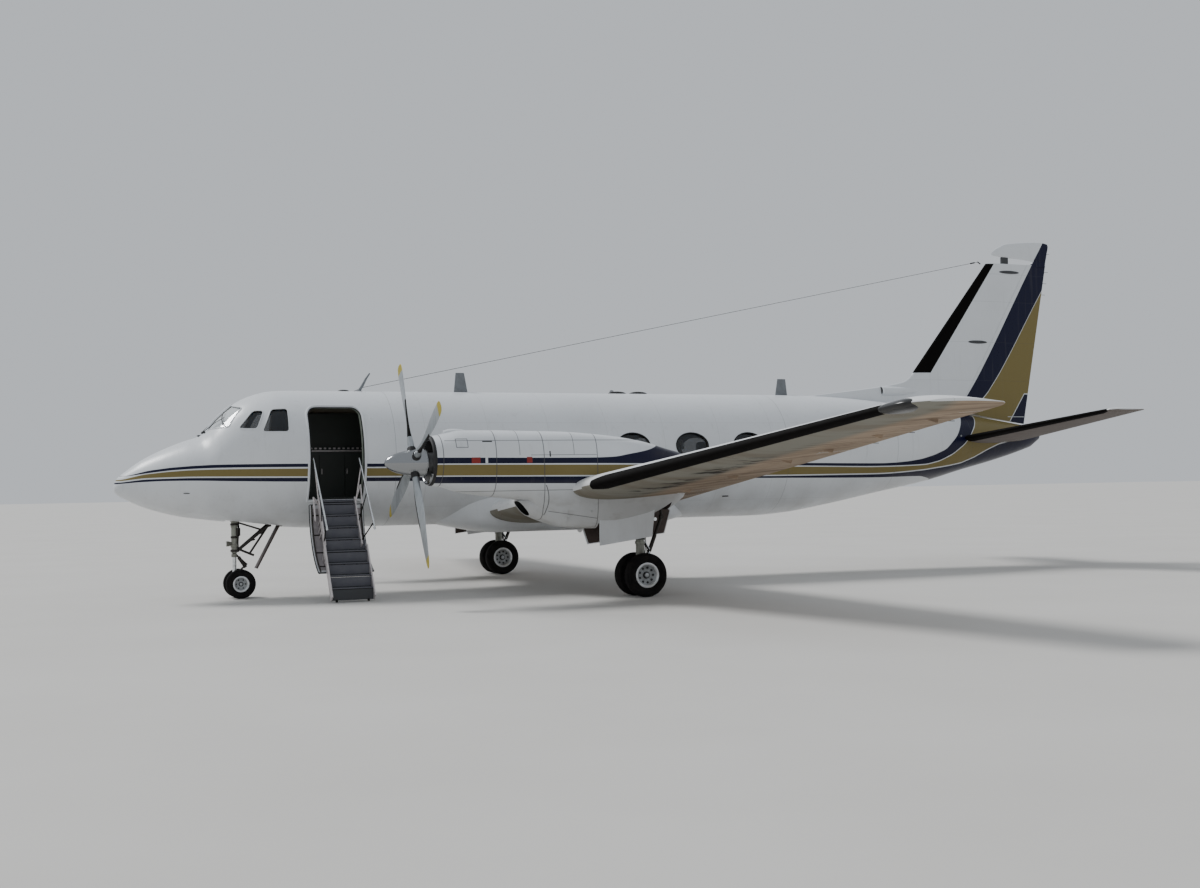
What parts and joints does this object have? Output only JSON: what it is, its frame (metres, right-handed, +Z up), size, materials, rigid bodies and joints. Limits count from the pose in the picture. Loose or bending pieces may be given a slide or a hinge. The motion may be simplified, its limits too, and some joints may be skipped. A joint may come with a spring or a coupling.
{
  "type": "turboprop business plane",
  "caption": "Low-wing turboprop business plane parked on its gear with the airstair down, its propellers, wheels, nose steering and control surfaces free to move.",
  "frame": {"origin": "on the ground, at the centre of the box round the parked aeroplane", "axes": "-X forward through the nose, +Y to starboard along the wings, +Z up"},
  "size_m": [19.43, 23.921, 6.94],
  "materials": {
    "white_paint": "gloss white paint over aluminium skin",
    "nose_plastic": "gloss white paint over moulded laminate",
    "cabin_lining": "dull dark paint",
    "dark_trim": "matt",
    "seat_cloth": "woven",
    "window_glass": "clear, slightly grey",
    "engine_iron": "as cast",
    "blade_metal": "satin dark paint",
    "spinner_metal": "polished",
    "gear_steel": "grey paint over steel",
    "tyre_rubber": "matt black",
    "stair_metal": "dark grey non-slip paint"
  },
  "bodies": {
    "airframe": {"fuselage_front": "white_paint", "fuselage_cabin": "white_paint", "fuselage_tail": "white_paint", "wing_body_fairing": "white_paint", "wing_right": "white_paint", "wing_left": "white_paint", "nacelle_right": "white_paint", "nacelle_left": "white_paint", "main_door_outer_right": "white_paint", "main_door_outer_left": "white_paint", "main_door_inner_right": "white_paint", "main_door_inner_left": "white_paint", "nose_gear_door": "white_paint", "vertical_fin": "white_paint", "tailplane_right": "white_paint", "tailplane_left": "white_paint", "door_skin": "white_paint", "radome": "nose_plastic", "cabin_floor": "cabin_lining", "cockpit_bulkhead": "cabin_lining", "aft_bulkhead": "cabin_lining", "instrument_panel": "dark_trim", "pilot_seat_right": "seat_cloth", "pilot_seat_left": "seat_cloth", "cabin_seats_right": "seat_cloth", "cabin_seats_left": "seat_cloth", "cockpit_glazing": "window_glass", "cabin_windows_right": "window_glass", "cabin_windows_left": "window_glass", "engine_right": "engine_iron", "engine_left": "engine_iron", "main_leg_right": "gear_steel", "main_leg_left": "gear_steel", "nose_leg": "gear_steel", "airstair_upper": "stair_metal", "airstair_lower": "stair_metal"},
    "propeller_right": {"propeller_right": "blade_metal", "spinner_right": "spinner_metal"},
    "main_wheels_right": {"main_wheels_right": "gear_steel", "main_tyre_outer_right": "tyre_rubber", "main_tyre_inner_right": "tyre_rubber"},
    "flap_inboard_right": {"flap_inboard_right": "white_paint"},
    "flap_outboard_right": {"flap_outboard_right": "white_paint"},
    "aileron_right": {"aileron_right": "white_paint"},
    "elevator_right": {"elevator_right": "white_paint"},
    "propeller_left": {"propeller_left": "blade_metal", "spinner_left": "spinner_metal"},
    "main_wheels_left": {"main_wheels_left": "gear_steel", "main_tyre_outer_left": "tyre_rubber", "main_tyre_inner_left": "tyre_rubber"},
    "flap_inboard_left": {"flap_inboard_left": "white_paint"},
    "flap_outboard_left": {"flap_outboard_left": "white_paint"},
    "aileron_left": {"aileron_left": "white_paint"},
    "elevator_left": {"elevator_left": "white_paint"},
    "nose_fork": {"nose_fork": "gear_steel"},
    "nose_wheels": {"nose_wheels": "gear_steel", "nose_tyre_right": "tyre_rubber", "nose_tyre_left": "tyre_rubber"},
    "rudder": {"rudder": "white_paint"}
  },
  "joints": [
    {"name": "propeller_right_spin", "type": "hinge", "parent": "airframe", "child": "propeller_right", "pos_m": [-5.575, 3.685, 2.205], "axis": [1, 0, 0], "continuous": true},
    {"name": "propeller_left_spin", "type": "hinge", "parent": "airframe", "child": "propeller_left", "pos_m": [-5.575, -3.685, 2.205], "axis": [1, 0, 0], "continuous": true},
    {"name": "main_wheels_right_spin", "type": "hinge", "parent": "airframe", "child": "main_wheels_right", "pos_m": [-1.815, 3.685, 0.3525], "axis": [0, 1, 0], "continuous": true},
    {"name": "main_wheels_left_spin", "type": "hinge", "parent": "airframe", "child": "main_wheels_left", "pos_m": [-1.815, -3.685, 0.3525], "axis": [0, 1, 0], "continuous": true},
    {"name": "nose_steering", "type": "hinge", "parent": "airframe", "child": "nose_fork", "pos_m": [-7.765, 0, 0.76], "axis": [0, 0, 1], "range_deg": [-60, 60]},
    {"name": "nose_wheels_spin", "type": "hinge", "parent": "nose_fork", "child": "nose_wheels", "pos_m": [-7.685, 0, 0.2475], "axis": [0, 1, 0], "continuous": true},
    {"name": "rudder_hinge", "type": "hinge", "parent": "airframe", "child": "rudder", "pos_m": [8.2675, 0, 5], "axis": [0.5151, 0, 0.8571], "range_deg": [-25, 25]},
    {"name": "elevator_right_hinge", "type": "hinge", "parent": "airframe", "child": "elevator_right", "pos_m": [7.913, 0, 2.58], "axis": [0.1227, 0.9842, 0.1278], "range_deg": [-25, 18]},
    {"name": "elevator_left_hinge", "type": "hinge", "parent": "airframe", "child": "elevator_left", "pos_m": [7.913, 0, 2.58], "axis": [-0.1227, 0.9842, -0.1278], "range_deg": [-25, 18]},
    {"name": "aileron_right_hinge", "type": "hinge", "parent": "airframe", "child": "aileron_right", "pos_m": [-1.0625, -0.00576, 1.34052], "axis": [-0.0133, 0.9938, 0.1107], "range_deg": [-20, 20]},
    {"name": "aileron_left_hinge", "type": "hinge", "parent": "airframe", "child": "aileron_left", "pos_m": [-1.0625, 0.00576, 1.34052], "axis": [0.0133, 0.9938, -0.1107], "range_deg": [-20, 20]},
    {"name": "flap_inboard_right_hinge", "type": "hinge", "parent": "airframe", "child": "flap_inboard_right", "pos_m": [-1.232, -0.00645, 1.34659], "axis": [-0.0048, 0.9939, 0.1104], "range_deg": [0, 35]},
    {"name": "flap_inboard_left_hinge", "type": "hinge", "parent": "airframe", "child": "flap_inboard_left", "pos_m": [-1.232, 0.00645, 1.34659], "axis": [0.0048, 0.9939, -0.1104], "range_deg": [0, 35]},
    {"name": "flap_outboard_right_hinge", "type": "hinge", "parent": "airframe", "child": "flap_outboard_right", "pos_m": [-1.232, -0.00645, 1.34659], "axis": [-0.0048, 0.9939, 0.1104], "range_deg": [0, 35]},
    {"name": "flap_outboard_left_hinge", "type": "hinge", "parent": "airframe", "child": "flap_outboard_left", "pos_m": [-1.232, 0.00645, 1.34659], "axis": [0.0048, 0.9939, -0.1104], "range_deg": [0, 35]}
  ],
  "couplings": [
    {"joint": "elevator_left_hinge", "follows": "elevator_right_hinge", "ratio": 1},
    {"joint": "aileron_left_hinge", "follows": "aileron_right_hinge", "ratio": -1},
    {"joint": "flap_inboard_left_hinge", "follows": "flap_inboard_right_hinge", "ratio": 1},
    {"joint": "flap_outboard_right_hinge", "follows": "flap_inboard_right_hinge", "ratio": 1},
    {"joint": "flap_outboard_left_hinge", "follows": "flap_inboard_right_hinge", "ratio": 1}
  ]
}
